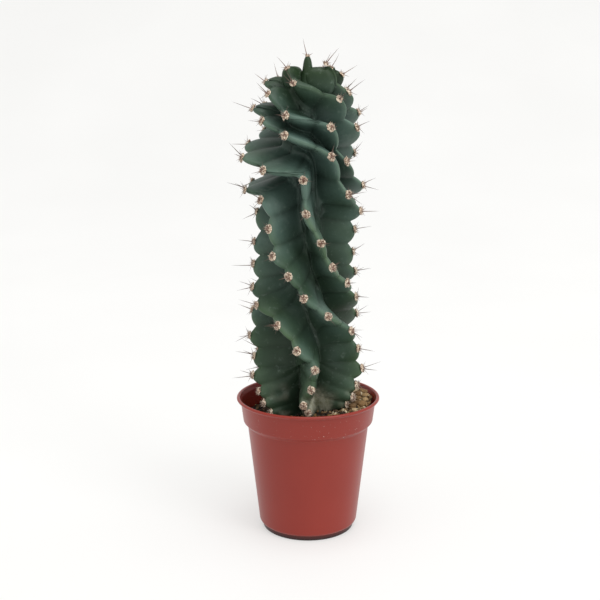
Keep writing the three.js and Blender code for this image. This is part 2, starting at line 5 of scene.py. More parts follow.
import bpy
import numpy as np
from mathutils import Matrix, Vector


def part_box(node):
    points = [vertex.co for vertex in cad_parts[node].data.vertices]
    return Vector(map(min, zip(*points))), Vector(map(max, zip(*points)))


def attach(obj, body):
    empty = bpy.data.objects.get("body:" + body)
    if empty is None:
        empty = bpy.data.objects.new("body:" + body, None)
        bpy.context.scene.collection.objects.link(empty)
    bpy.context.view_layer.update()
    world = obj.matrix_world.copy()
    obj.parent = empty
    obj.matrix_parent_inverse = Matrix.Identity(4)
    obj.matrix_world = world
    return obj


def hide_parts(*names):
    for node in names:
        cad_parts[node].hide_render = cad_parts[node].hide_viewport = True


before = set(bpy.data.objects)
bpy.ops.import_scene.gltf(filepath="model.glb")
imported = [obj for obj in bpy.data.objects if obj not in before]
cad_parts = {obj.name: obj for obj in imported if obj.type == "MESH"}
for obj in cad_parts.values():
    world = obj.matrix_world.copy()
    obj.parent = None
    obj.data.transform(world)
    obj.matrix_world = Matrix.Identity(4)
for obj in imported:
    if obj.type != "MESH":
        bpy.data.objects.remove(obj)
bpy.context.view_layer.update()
mm = 0.001
potLow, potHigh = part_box("pot")
rimHeight = potHigh.z
lipRadius = (potHigh.x - potLow.x) / 2
print("frame loaded: pot", round(lipRadius * 2 / mm), "mm wide,", round(rimHeight / mm), "mm high")


# Puts points and faces into a new object. faceSets holds one integer array for each number of corners.
def makePiece(name, points, faceSets, material, smooth=True):
    mesh = bpy.data.meshes.new(name)
    corners = np.concatenate([part.ravel() for part in faceSets])
    sizes = np.concatenate([np.full(len(part), part.shape[1]) for part in faceSets])
    starts = np.concatenate([[0], np.cumsum(sizes)[:-1]])
    mesh.vertices.add(len(points))
    mesh.vertices.foreach_set("co", np.asarray(points, np.float32).ravel())
    mesh.loops.add(len(corners))
    mesh.loops.foreach_set("vertex_index", corners.astype(np.int32))
    mesh.polygons.add(len(sizes))
    mesh.polygons.foreach_set("loop_start", starts.astype(np.int32))
    mesh.update(calc_edges=True)
    mesh.polygons.foreach_set("use_smooth", np.full(len(sizes), smooth))
    mesh.materials.append(material)
    piece = bpy.data.objects.new(name, mesh)
    bpy.context.scene.collection.objects.link(piece)
    return piece


# Writes one number for each vertex into a named attribute, for the materials to read.
def paint(piece, attribute, values):
    layer = piece.data.attributes.new(attribute, "FLOAT", "POINT")
    layer.data.foreach_set("value", np.asarray(values, np.float32).ravel())


# Faces of a grid that wraps round its columns, with a pole point under its first row and over its last.
# The points are: first pole, the rows in order, last pole.
def wrappedFaces(rows, columns):
    index = 1 + np.arange(rows * columns).reshape(rows, columns)
    beside = np.roll(index, -1, axis=1)
    quads = np.stack([index[:-1], beside[:-1], beside[1:], index[1:]], axis=-1).reshape(-1, 4)
    lowFan = np.stack([np.zeros(columns, int), beside[0], index[0]], axis=-1)
    highFan = np.stack([np.full(columns, rows * columns + 1), index[-1], beside[-1]], axis=-1)
    return [quads, np.concatenate([lowFan, highFan])]


# Rings of points round +Z, one for each radius and height, with a pole point below and one above.
def ringShape(radius, height, columns, low, high):
    angle = np.linspace(0, 2 * np.pi, columns, endpoint=False)
    grid = np.stack([np.outer(radius, np.cos(angle)), np.outer(radius, np.sin(angle)),
                     np.outer(height, np.ones(columns))], axis=-1)
    points = np.concatenate([[[0, 0, low]], grid.reshape(-1, 3), [[0, 0, high]]])
    return points, wrappedFaces(len(grid), columns)


# Repeats one template shape: every copy is turned and stretched by its own 3x3 matrix, then moved.
def repeatShape(points, faceSets, matrices, places):
    copies = len(places)
    allPoints = np.einsum("nij,pj->npi", matrices, points) + places[:, None, :]
    shift = (np.arange(copies) * len(points))[:, None, None]
    allFaces = [(part[None] + shift).reshape(-1, part.shape[1]) for part in faceSets]
    return allPoints.reshape(-1, 3), allFaces


# Smooth waviness between about -1 and 1: a sum of plane waves in seeded directions, over the root of
# 1.4 times their number. Each is between 0.7 and 1.4 times as long as the wavelength given.
def waves(points, wavelength, seed, count=9):
    rng = np.random.default_rng(seed)
    heading = rng.normal(size=(count, 3))
    heading /= np.linalg.norm(heading, axis=1)[:, None]
    pitch = 2 * np.pi / (wavelength * rng.uniform(0.7, 1.4, count))
    phase = rng.uniform(0, 2 * np.pi, count)
    return np.sin(points @ (heading * pitch[:, None]).T + phase).sum(axis=-1) / math.sqrt(count * 1.4)


def unit(vectors):
    return vectors / np.linalg.norm(vectors, axis=-1, keepdims=True)


def onTurn(reach, turn, height):
    angle = np.radians(turn)
    return np.stack(np.broadcast_arrays(reach * np.sin(angle), -reach * np.cos(angle), height), axis=-1)


def newMaterial(name, roughness, **sockets):
    material = bpy.data.materials.new(name)
    material.use_nodes = True
    shader = material.node_tree.nodes["Principled BSDF"]
    shader.inputs["Roughness"].default_value = roughness
    for socket, value in sockets.items():
        shader.inputs[socket.replace("_", " ")].default_value = value
    return material, material.node_tree, shader


def addNode(tree, kind, inputs=None, **settings):
    node = tree.nodes.new(kind)
    for setting, value in settings.items():
        setattr(node, setting, value)
    for socket, value in (inputs or {}).items():
        if isinstance(value, bpy.types.NodeSocket):
            tree.links.new(value, node.inputs[socket])
        else:
            node.inputs[socket].default_value = value
    return node


def noiseOf(tree, scale, detail=4.0, roughness=0.55, stretch=None):
    place = addNode(tree, "ShaderNodeTexCoord").outputs["Object"]
    if stretch:
        place = addNode(tree, "ShaderNodeMapping", {"Vector": place, "Scale": stretch}).outputs["Vector"]
    return addNode(tree, "ShaderNodeTexNoise", {
        "Vector": place, "Scale": scale, "Detail": detail, "Roughness": roughness}).outputs["Fac"]


def rampOf(tree, value, stops):
    node = addNode(tree, "ShaderNodeValToRGB", {"Fac": value})
    elements = node.color_ramp.elements
    while len(elements) < len(stops):
        elements.new(0.5)
    for element, (position, color) in zip(elements, stops):
        element.position = position
        element.color = (*color, 1) if len(color) == 3 else color
    return node.outputs["Color"]


def blendColors(tree, share, first, second, mode="MIX"):
    node = addNode(tree, "ShaderNodeMix", data_type="RGBA", blend_type=mode)
    for socket, value in ((0, share), (6, first), (7, second)):
        if isinstance(value, bpy.types.NodeSocket):
            tree.links.new(value, node.inputs[socket])
        else:
            node.inputs[socket].default_value = (*value, 1) if isinstance(value, tuple) else value
    return node.outputs[2]


def mathOf(tree, operation, first, second):
    return addNode(tree, "ShaderNodeMath", {0: first, 1: second}, operation=operation).outputs[0]


def attributeOf(tree, name):
    return addNode(tree, "ShaderNodeAttribute", attribute_name=name).outputs["Fac"]


# Links a colour, and a bump of so many metres, to the shader.
def dress(tree, shader, color, bump, distance, strength):
    tree.links.new(color, shader.inputs["Base Color"])
    node = addNode(tree, "ShaderNodeBump", {"Height": bump, "Distance": distance, "Strength": strength})
    tree.links.new(node.outputs["Normal"], shader.inputs["Normal"])


# Roughness that goes up from the least value with a pattern.
def setRoughness(tree, shader, pattern, least, more):
    node = addNode(tree, "ShaderNodeMath", {0: pattern, 1: more, 2: least}, operation="MULTIPLY_ADD")
    tree.links.new(node.outputs[0], shader.inputs["Roughness"])


# Sizes are millimetres. A table holds heights above the rim, then a value for each.
stemPlan = {
    "drawnHeight": 236,  # of the last ring of skin above the rim
    "unroll": 36,  # radius at which the stem is unrolled to measure along its skin
    "core": [[170, 225], [8, 4]],  # least distance of a valley from the axis
    "coreBlend": 1.5,
    "valleyDepth": 27,
    "valleyByHalf": [[0, 6, 11, 16, 40], [0, 0.52, 0.88, 1, 1.04]],  # by half the way between ribs
    "valleyByHeight": [[-16, 5, 120, 160, 210, 234], [0.8, 1, 1, 1.15, 1.1, 0.8]],
    "edge": 4,  # bluntness of a rib's edge where its flanks slope
    "finHalf": 5.2,  # half thickness of a rib where it stands out as a fin, in the upper half
    "finPower": 2.6,  # steepness of a fin's flank
    "finSwell": 0.2,  # share by which a fin is thicker below an areole
    "finByHeight": [[10, 50, 120, 150], [0.1, 0.35, 0.6, 0.8]],
    "floorEase": 0.3,  # levelling of the valley floor, as a share of its depth
    "blend": 0.8,  # rounding where two ribs meet
    "bump": 5.2,  # depth of the notch above each areole
    "bumpByHeight": [[-10, 10, 100, 145, 175, 215, 236], [0.45, 1, 1, 0.9, 1.4, 1.3, 0.6]],
    "notchPlace": 0.34,
    "notchSharpness": 0.8,
    "notchFade": [[20, 90], [0.97, 0.6]],  # share of a notch that is gone at the valley
    "droop": 10,  # most that a rib falls, or rises near the top, from valley to crest
    "droopByHeight": [[-10, 40, 110, 150, 172, 192, 214, 238], [0, 0.3, 0.7, 0.9, 0.5, -0.5, -1, -1]],
    "widest": [[195, 217, 236, 240], [40, 30, 18, 10]],  # distance from the axis where it doesn't fall
    "shoulder": 1.2,  # rise of the rounded shoulders over the last ring
    "shoulderPlace": 0.6,
    "dip": 2.5,  # fall from there to the middle of the top
    "belowRim": 16,  # the ribs run on this far below the rim
    "knobHeight": 13.6,
    "knobRoot": 8,
    "knobRadius": 3.1,
    "knobFlare": 0.9,
    "knobPlace": (-0.3, -8.5),
    # lobes that close the crown: middle (height above the rim) and half size
    "crownLobes": [((7.6, -7.0, 226.3), (10.8, 8.0, 9.8)), ((-10.8, -2.0, 228), (7.4, 8.0, 8.6))],
    "lobeBlunt": 0.66,  # below 1, a lobe is boxier than a ball
    "rootLength": 30,
    "rootRadius": 9,
    "rootFlare": 1.6,
    "rootTip": 3,
    "rootRows": 8,
    "columnsPerRib": 40,
    "rows": 320,
    "capRings": 24,
    "swelling": 0.014,
    "swellingLength": 26,
    "crestSteps": 8,
    "young": [[200, 232], [0, 0.95]],  # share of fresh green
    "rimTone": [[0, 40, 130, 170, 215, 240], [0.1, 0.55, 0.5, 0.2, 0.2, 0.5]],  # light green on the crests
    "creaseShadeTone": [[0, 60, 200], [0.2, 0.7, 0.9]],  # painted shade in the notches, by height
    "bloom": [[0, 40, 90, 150, 200], [-0.7, -0.4, -0.1, 0.42, 0.38]],  # blue-grey bloom
    "corkFoot": [[-8, 14], [1, 0]],
    "corkPatch": (7, -1, 7),  # x, height above the rim and size of the corky patch in front
}

# Areoles of each rib from the soil upwards: (height above the rim, turn, reach).
# The last place of each rib only leads its crest over the top: it bears no areole.
ribs = [
    [(-3, 0, 34), (3, -5, 36), (15, 3, 38), (30, 7, 40), (44, -11, 41), (61, -31, 41),
     (72, -62, 41), (83, -78, 40), (99, -82, 39), (114, -88, 38), (134, -103, 37), (148, -135, 40),
     (162, -165, 42), (176, -195, 42), (190, -225, 40), (205, -258, 36), (219, -285, 29), (238, -315, 17),
     (240, -350, 10)],
    [(-2, 58, 33), (4, 60, 37), (12, 68, 38), (23, 77, 40), (39, 70, 39), (55, 50, 40),
     (68, 20, 41), (81, -4, 41), (96, -19, 41), (109, -36, 41), (128, -40, 42), (147, -50, 42),
     (152, -82, 44), (155, -112, 43), (165, -140, 41), (180, -168, 39), (195, -195, 36), (208, -222, 32),
     (220, -248, 28), (231, -272, 23), (236, -297, 17), (240, -328, 9)],
    [(-3, 118, 33), (4, 120, 37), (15, 127, 38), (28, 133, 40), (43, 130, 40), (58, 115, 39),
     (75, 78, 35), (88, 50, 36), (101, 26, 38), (119, 13, 40), (139, -2, 42), (162, -4, 44),
     (168, -41, 46), (175, -71, 48), (183, -103, 43), (192, -130, 40), (206, -155, 35), (221, -182, 28),
     (235, -212, 18), (239, -247, 10)],
    [(-3, 180, 33), (4, 180, 37), (16, 186, 39), (30, 190, 40), (45, 184, 40), (60, 165, 39),
     (76, 135, 38), (90, 112, 37), (105, 100, 33), (122, 88, 33), (137, 78, 38), (151, 43, 40),
     (177, 23, 40), (191, -23, 40), (200, -56, 38), (208, -82, 38), (210, -112, 34), (217, -142, 28),
     (229, -170, 19), (236, -200, 10)],
    [(-3, 240, 33), (4, 240, 37), (17, 244, 39), (31, 246, 40), (46, 234, 40), (61, 218, 40),
     (77, 194, 39), (93, 172, 38), (108, 155, 38), (124, 146, 38), (140, 128, 38), (154, 92, 38),
     (172, 52, 33), (197, 25, 36), (204, -24, 37), (218, -54, 34), (226, -85, 29), (228, -115, 23),
     (235, -150, 13)],
    [(-8, 304, 32), (-1, 299, 36), (7, 290, 38), (18, 282, 41), (32, 280, 40), (47, 277, 42),
     (63, 262, 41), (79, 238, 40), (95, 215, 40), (111, 202, 40), (128, 190, 40), (144, 172, 40),
     (159, 148, 39), (176, 118, 37), (196, 72, 35), (215, 45, 30), (225, -21, 28), (235, -44, 20),
     (240, -72, 11)],
]
rimMm = rimHeight / mm


# A value of one of the stem's tables.
def stemTable(name, above):
    return np.interp(above, *stemPlan[name])


# A curve through a rib's areoles, as rows of height, turn, reach and place (counted in areoles).
# Between two areoles it is a cubic whose slopes are held back so that it never overshoots.
def traceCrest(areoles):
    points = np.array(areoles, float)
    points[:, 0] += rimMm
    steps = np.diff(points, axis=0)
    mean = (steps[1:] + steps[:-1]) / 2
    limit = 3 * np.minimum(abs(steps[1:]), abs(steps[:-1]))
    inner = np.where(steps[1:] * steps[:-1] > 0, np.sign(mean) * np.minimum(abs(mean), limit), 0)
    slopes = np.concatenate([steps[:1], inner, steps[-1:]])
    s = (np.arange(stemPlan["crestSteps"]) / stemPlan["crestSteps"])[None, :, None]
    low, high = points[:-1, None], points[1:, None]
    curve = ((2 * s**3 - 3 * s**2 + 1) * low + (s**3 - 2 * s**2 + s) * slopes[:-1, None]
             + (3 * s**2 - 2 * s**3) * high + (s**3 - s**2) * slopes[1:, None])
    places = np.arange(len(points) - 1)[:, None] + s[0, :, 0][None]
    curve = np.concatenate([curve.reshape(-1, 3), points[-1:]])
    places = np.append(places.ravel(), len(points) - 1)
    return np.column_stack([curve, places])


crests = [traceCrest(areoles) for areoles in ribs]


# Distance, reach and place of the nearest point of one crest, on the unrolled stem.
def nearestOnCrest(crest, turn, height):
    unroll = stemPlan["unroll"]
    x = np.radians((crest[None, :, 1] - turn[:, None] + 180) % 360 - 180) * unroll
    y = crest[None, :, 0] - height[:, None]
    runs = np.radians(np.diff(crest[:, 1]))[None] * unroll
    rises = np.diff(crest[:, 0])[None]
    share = np.clip(-(x[:, :-1] * runs + y[:, :-1] * rises) / (runs**2 + rises**2), 0, 1)
    distance = np.hypot(x[:, :-1] + share * runs, y[:, :-1] + share * rises)
    best = distance.argmin(axis=1)
    pick = np.arange(len(turn))
    share = share[pick, best]
    mixed = crest[best] + (crest[best + 1] - crest[best]) * share[:, None]
    return distance[pick, best], mixed[:, 2], mixed[:, 3]


# Share of the valley's depth that a flank has fallen at a distance from its crest. Low down it is
# blunt at the edge, then straight: d^3 / (d^2 + edge^2). Higher up it is a fin, a flat step with a
# little slope: 1 - exp(-(d / width)^power). Both are 1 at the valley. Near 1 the fall is eased to a
# level floor: 1 - (sqrt((1 - fall)^2 + ease^2) - ease) / (sqrt(1 + ease^2) - ease).
def finFall(distance, half, above, swell):
    slope = distance**3 / (distance**2 + stemPlan["edge"]**2)
    slope = slope / (half**3 / (half**2 + stemPlan["edge"]**2))
    width = stemPlan["finHalf"] * (1 + stemPlan["finSwell"] * swell)
    step = 1 - np.exp(-((distance / width) ** stemPlan["finPower"]))
    step = step / (1 - np.exp(-((half / width) ** stemPlan["finPower"])))
    share = stemTable("finByHeight", above)
    fall = slope * (1 - share) + step * share
    ease = stemPlan["floorEase"]
    eased = 1 - (np.sqrt((1 - fall) ** 2 + ease**2) - ease) / (math.sqrt(1 + ease**2) - ease)
    return np.where(fall > 1, fall, eased)


# Notch above each areole and swelling below it, zero at the areole itself.
def notch(place):
    places = np.stack([np.zeros_like(place), place - np.floor(place)])
    dips = abs(np.sin(np.pi * (places - stemPlan["notchPlace"]))) ** stemPlan["notchSharpness"]
    return dips[0] - dips[1]


# Reach of the skin at turns and heights: the higher of the two nearest ribs' fins, rounded where they
# meet. Also gives the share of the way from crest to valley, and the notch depth there.
def stemReach(turn, height):
    shape = turn.shape
    turn, height = turn.ravel(), height.ravel()
    above = height - rimMm
    found = np.array([nearestOnCrest(crest, turn, height) for crest in crests])
    order = found[:, 0].argsort(axis=0)[:2]
    near = np.take_along_axis(found, order[:, None, :], axis=0)
    distance, reach, place = near[:, 0], near[:, 1], near[:, 2]
    half = distance.mean(axis=0)
    depth = stemPlan["valleyDepth"] * stemTable("valleyByHalf", half)
    depth = depth * stemTable("valleyByHeight", above)
    flank = np.clip(distance / half, 0, 1)
    dent = notch(place)
    bump = stemPlan["bump"] * stemTable("bumpByHeight", above)
    cut = bump * dent * (1 - stemTable("notchFade", above) * flank)
    sides = reach - cut - depth * finFall(distance, half, above, -dent)
    blend = stemPlan["blend"]
    rounded = sides.max(axis=0) + blend * np.log1p(np.exp(-abs(sides[0] - sides[1]) / blend))
    core = stemTable("core", above)
    rounded = core + np.logaddexp(0, (rounded - core) / stemPlan["coreBlend"]) * stemPlan["coreBlend"]
    return rounded.reshape(shape), flank[0].reshape(shape), notch(place[0]).reshape(shape)


# Rise of the skin above its own height, so that a rib falls towards its crest, or near the top rises.
def droopRise(reach, height):
    droop = stemPlan["droop"] * stemTable("droopByHeight", height - rimMm)
    return droop * np.maximum(1 - reach / stemTable("widest", height - rimMm), 0)


# Turns of a ring's columns: one on each crest, the others spaced evenly between.
def ringTurns(heights):
    turns = np.stack([np.interp(heights, crest[:, 0], crest[:, 1]) for crest in crests], axis=1)
    following = np.concatenate([turns[:, 1:], turns[:, :1] + 360], axis=1)
    share = np.arange(stemPlan["columnsPerRib"]) / stemPlan["columnsPerRib"]
    return (turns[:, :, None] + (following - turns)[:, :, None] * share).reshape(len(heights), -1)


# Rise of the growing tip over the last ring: rounded shoulders, then a dip to the middle.
def crownRise(share):
    shoulders = stemPlan["shoulder"] * np.sin(np.pi * share ** stemPlan["shoulderPlace"])
    return shoulders - stemPlan["dip"] * share**2


# Height of the middle of the stem's top, where the last ring of skin ends.
def crownMiddle():
    height = np.full(1, rimMm + stemPlan["drawnHeight"])
    turns = ringTurns(height)
    reach, _, _ = stemReach(turns, height[:, None] + 0 * turns)
    return height[0] + droopRise(reach, height[0]).mean() + crownRise(1.0)


# The finger-like knob in front of the tip: a round rod whose radius grows downwards by the square of
# the way, and ends bluntly as the root of 1 - share^6.
def knobShape(middle, rows=18, columns=24):
    share = np.linspace(0, 1, rows)[:-1]
    flare = 1 + stemPlan["knobFlare"] * (1 - share) ** 2
    radius = stemPlan["knobRadius"] * flare * (1 - share**6) ** 0.5
    low, high = middle - stemPlan["knobRoot"], middle + stemPlan["knobHeight"]
    points, faces = ringShape(radius, low + (high - low) * share, columns, low, high)
    return points + [*stemPlan["knobPlace"], 0], faces


# A blunt lobe: a ball whose coordinates are raised to a power, so that it is boxier.
def lobeShape(middle, half, rows=24, columns=40):
    up = np.linspace(-np.pi / 2, np.pi / 2, rows + 2)[1:-1]
    ball, faces = ringShape(np.cos(up), np.sin(up), columns, -1.0, 1.0)
    blunt = np.sign(ball) * abs(ball) ** stemPlan["lobeBlunt"]
    return blunt * half + middle + [0, 0, rimMm], faces


# Slow swellings of the whole stem: every point moves out or in by a share of its distance from the axis.
def swell(points):
    share = stemPlan["swelling"] * waves(points, stemPlan["swellingLength"], 61)
    return points * np.stack([1 + share, 1 + share, np.ones_like(share)], axis=-1)


skinTones = {
    "green": [(0.3, (0.022, 0.044, 0.024)), (0.55, (0.033, 0.062, 0.035)), (0.75, (0.058, 0.095, 0.056))],
    "bloomed": [(0.3, (0.044, 0.080, 0.064)), (0.55, (0.074, 0.120, 0.100)), (0.75, (0.140, 0.195, 0.172))],
    # multiplier for painted light and shade: crests painted lighter, flanks painted darker towards the
    # valleys
    "crestLightValleyShade": [(0.0, (1.45, 1.45, 1.4)), (0.4, (0.80, 0.82, 0.83)), (1.0, (0.52, 0.55, 0.53))],
    "fresh": [(0.3, (0.012, 0.030, 0.009)), (0.7, (0.019, 0.042, 0.013))],
    "rim": (0.090, 0.150, 0.055),
    # painted shade for the notch creases
    "creaseShade": (0.008, 0.016, 0.010),
    "speck": (0.20, 0.26, 0.22),
    "speckShare": 0.25,
    "cork": [(0.3, (0.22, 0.22, 0.15)), (0.7, (0.50, 0.50, 0.40))],
    "roughness": (0.36, 0.25),  # least, and how much more where the skin is palest
}


def stemMaterial():
    material, tree, shader = newMaterial("waxyRibSkin", 0.5, Specular_IOR_Level=0.26)
    broad = noiseOf(tree, 28, 5, 0.6)
    fine = noiseOf(tree, 260, 3, 0.6)
    flank = attributeOf(tree, "flank")
    green, bloomed = rampOf(tree, broad, skinTones["green"]), rampOf(tree, broad, skinTones["bloomed"])
    color = blendColors(tree, attributeOf(tree, "bloom"), green, bloomed)
    # painted light on the crests and painted shade down the flanks into the valleys
    color = blendColors(tree, 1.0, color, rampOf(tree, flank, skinTones["crestLightValleyShade"]), "MULTIPLY")
    color = blendColors(tree, attributeOf(tree, "young"), color, rampOf(tree, fine, skinTones["fresh"]))
    rim = rampOf(tree, flank, [(0.0, (1, 1, 1)), (0.22, (0, 0, 0))])
    rim = mathOf(tree, "MULTIPLY", rim, attributeOf(tree, "rim"))
    color = blendColors(tree, rim, color, skinTones["rim"])
    # painted shade in the notches above the areoles
    color = blendColors(tree, attributeOf(tree, "creaseShade"), color, skinTones["creaseShade"])
    speck = rampOf(tree, fine, [(0.60, (0, 0, 0)), (0.75, (1, 1, 1))])
    speck = mathOf(tree, "MULTIPLY", speck, skinTones["speckShare"])
    color = blendColors(tree, speck, color, skinTones["speck"])
    color = blendColors(tree, attributeOf(tree, "cork"), color, rampOf(tree, fine, skinTones["cork"]))
    setRoughness(tree, shader, broad, *skinTones["roughness"])
    dress(tree, shader, color, fine, 0.0002, 0.6)
    return material


# The root stub, the ribbed skin, the cap that closes it, the knob and the lobes, in one mesh.
def makeStem():
    low = rimMm - stemPlan["belowRim"]
    heights = np.linspace(low, rimMm + stemPlan["drawnHeight"], stemPlan["rows"])
    turns = ringTurns(heights)
    level = np.repeat(heights[:, None], turns.shape[1], axis=1)
    reach, flank, dent = stemReach(turns, level)
    skin = onTurn(reach, turns, level + droopRise(reach, level))
    rootShare = np.linspace(0, 1, stemPlan["rootRows"], endpoint=False)[:, None]
    flare = rootShare ** stemPlan["rootFlare"]
    rootReach = stemPlan["rootRadius"] + (reach[:1] - stemPlan["rootRadius"]) * flare
    root = onTurn(rootReach, turns[:1], low - stemPlan["rootLength"] * (1 - rootShare))
    inward = (np.arange(1, stemPlan["capRings"]) / stemPlan["capRings"])[:, None]
    middle = skin[-1, :, 2].mean()
    capLevel = skin[-1:, :, 2] * (1 - inward) + middle * inward + crownRise(inward)
    cap = np.stack([skin[-1:, :, 0] * (1 - inward), skin[-1:, :, 1] * (1 - inward), capLevel], axis=-1)
    grid = np.concatenate([root, swell(skin), swell(cap)])
    bottom = [[0, 0, grid[0, 0, 2] - stemPlan["rootTip"]]]
    top = [[0, 0, middle + crownRise(1.0)]]
    points = np.concatenate([bottom, grid.reshape(-1, 3), top])
    faces = wrappedFaces(*grid.shape[:2])
    for extra, extraFaces in [knobShape(top[0][2])] + [lobeShape(*lobe) for lobe in stemPlan["crownLobes"]]:
        faces += [part + len(points) for part in extraFaces]
        points = np.concatenate([points, extra])
    stem = makePiece("ribbedStem", points * mm, faces, stemMaterial())

    # "flank" is 0 at a crest and 1 in a valley, and about a third on the knob and the lobes
    above = points[:, 2] - rimMm
    fill = np.concatenate([np.zeros(root[..., 0].shape), flank, np.repeat(flank[-1:], len(cap), axis=0)])
    fill = np.concatenate([[0], fill.ravel(), [0.5]])
    paint(stem, "flank", np.append(fill, np.full(len(points) - len(fill), 0.3)))
    paint(stem, "young", stemTable("young", above))
    patch = np.clip(0.4 + 0.6 * waves(points, 40, 31), 0, 1)
    paint(stem, "rim", patch * stemTable("rimTone", above))
    # painted shade in the notch creases, strongest part way down the flanks
    creaseShading = np.zeros(len(points))
    first = 1 + root.size // 3
    creaseShading[first:first + dent.size] = (np.clip(dent * 1.3, 0, 1) ** 2
                                     * np.interp(flank, [0, 0.15, 0.5, 0.9], [0, 0.5, 0.6, 0.2])).ravel()
    paint(stem, "creaseShade", creaseShading * stemTable("creaseShadeTone", above))
    patches = 0.5 + 0.35 * waves(points, 60, 21) + 0.15 * waves(points, 18, 22)
    paint(stem, "bloom", np.clip(patches + stemTable("bloom", above), 0, 1))
    patchX, patchAbove, patchSize = stemPlan["corkPatch"]
    frontFoot = np.exp(-((points[:, 0] - patchX) / patchSize) ** 2 - ((above - patchAbove) / patchSize) ** 2)
    mottle = (1.35 + 0.63 * waves(points, 4, 42)) * (points[:, 1] < 0)
    foot = stemTable("corkFoot", above) * np.clip(waves(points, 11, 41) * 0.5, 0, 1)
    paint(stem, "cork", np.clip(frontFoot * mottle + foot, 0, 1))
    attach(stem, "root")
    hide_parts("cactus_stem")
    print("stem made:", len(points), "points")


# Ranges are (least, most). Leans are in radians from the way out.
areolePlan = {
    "padRadius": 2.9,
    "padHeight": 1.5,
    "slope": [[0, 150, 200, 230, 240], [0.1, 0.15, 0.4, 0.9, 2]],  # by height, the slope that it faces up at
    "size": [[-10, 10, 200, 236], [0.95, 1, 1, 0.72]],  # by height, a share of the usual size
    "woolPerPad": 44,
    "woolLength": 1.7,
    "woolRadius": 0.10,
    "centrals": (1, 2),
    "centralLength": 13.5,
    "centralSpread": (0.62, 1.15),
    "centralLean": (0.1, 0.62),
    "secondLength": 0.8,  # of the second central, as a share
    "radials": (4, 6),
    "radialLength": 5.8,
    "radialSpread": (0.6, 1.2),
    "radialLean": (0.95, 1.3),
    "radialWidth": 0.62,  # as a share of a central spine's
    "spineRadius": 0.33,
    "youngAbove": 225,  # areoles higher than this above the rim have reddish, shorter radials
    "youngLength": 0.7,
    "baldBelow": 8,  # areoles lower than this above the rim have lost their spines
    "knobRib": 0,  # the rib that carries on into the knob
    "knobShare": 0.62,  # size of the areole on the knob's tip
    "knobSink": 0.6,
}
ribLetters = "abcdef"


# Every areole's place, way out, way sideways, way up, size and height above the rim.
def areoleFrames(rib):
    rows = crests[rib][::stemPlan["crestSteps"]][:-1]
    height, turn, reach = rows[:, 0], rows[:, 1], rows[:, 2]
    above = height - rimMm
    place = swell(onTurn(reach, turn, height + droopRise(reach, height)))
    out = unit(onTurn(1.0, turn, np.interp(above, *areolePlan["slope"])))
    side = unit(np.cross([0, 0, 1.0], out))
    up = np.cross(out, side)
    size = np.interp(above, *areolePlan["size"])
    if rib == areolePlan["knobRib"]:
        tip = [*stemPlan["knobPlace"], crownMiddle() + stemPlan["knobHeight"] - areolePlan["knobSink"]]
        place, out = np.append(place, [tip], axis=0), np.append(out, [[0, 0, 1.0]], axis=0)
        side, up = np.append(side, [[1.0, 0, 0]], axis=0), np.append(up, [[0, 1.0, 0]], axis=0)
        size, above = np.append(size, areolePlan["knobShare"]), np.append(above, stemPlan["drawnHeight"])
    return place, out, side, up, size, above


# A flattened ball cut off below: radius sin(1.9 s) and height cos(1.9 s), from the top outwards.
def padTemplate(rings=7, sides=14):
    bow = (np.arange(1, rings + 1) / rings * 1.9)[::-1]
    return ringShape(np.sin(bow), np.cos(bow), sides, np.cos(bow[0]), 1.0)


# A thin thorn along +Z of length 1, with a radius of (1 - share)^0.8. Its sideways bend grows with the
# square of the way along it, and is given beside the points, to be used after it is turned.
def thornTemplate(sides, segments, bend):
    share = np.arange(segments) / segments
    points, faces = ringShape((1 - share) ** 0.8, share, sides, -0.02, 1.0)
    return points, faces, bend * points[:, 2] ** 2


feltTones = {
    "wool": [(0.38, (0.10, 0.040, 0.022)), (0.47, (0.52, 0.37, 0.25)), (0.60, (0.90, 0.80, 0.64))],
    "heart": [(0.35, (0.045, 0.012, 0.008)), (0.7, (0.20, 0.06, 0.035))],
}
# from a spine's root to its tip
spineTones = {
    "old": [(0.0, (0.17, 0.075, 0.050)), (0.22, (0.13, 0.095, 0.080)), (1.0, (0.060, 0.048, 0.045))],
    "young": [(0.0, (0.24, 0.080, 0.050)), (0.5, (0.22, 0.12, 0.080)), (1.0, (0.10, 0.055, 0.045))],
}


def feltMaterial():
    material, tree, shader = newMaterial("areoleFelt", 0.95, Sheen_Weight=0.4)
    grain = noiseOf(tree, 900, 3, 0.6)
    wool, heart = rampOf(tree, grain, feltTones["wool"]), rampOf(tree, grain, feltTones["heart"])
    color = blendColors(tree, attributeOf(tree, "heart"), wool, heart)
    dress(tree, shader, color, grain, 0.0006, 0.9)
    return material


def spineMaterial():
    material, tree, shader = newMaterial("hornSpine", 0.5)
    along = attributeOf(tree, "along")
    old, young = rampOf(tree, along, spineTones["old"]), rampOf(tree, along, spineTones["young"])
    color = blendColors(tree, attributeOf(tree, "tone"), old, young)
    dress(tree, shader, color, noiseOf(tree, 2500, 2), 0.0001, 0.5)
    return material


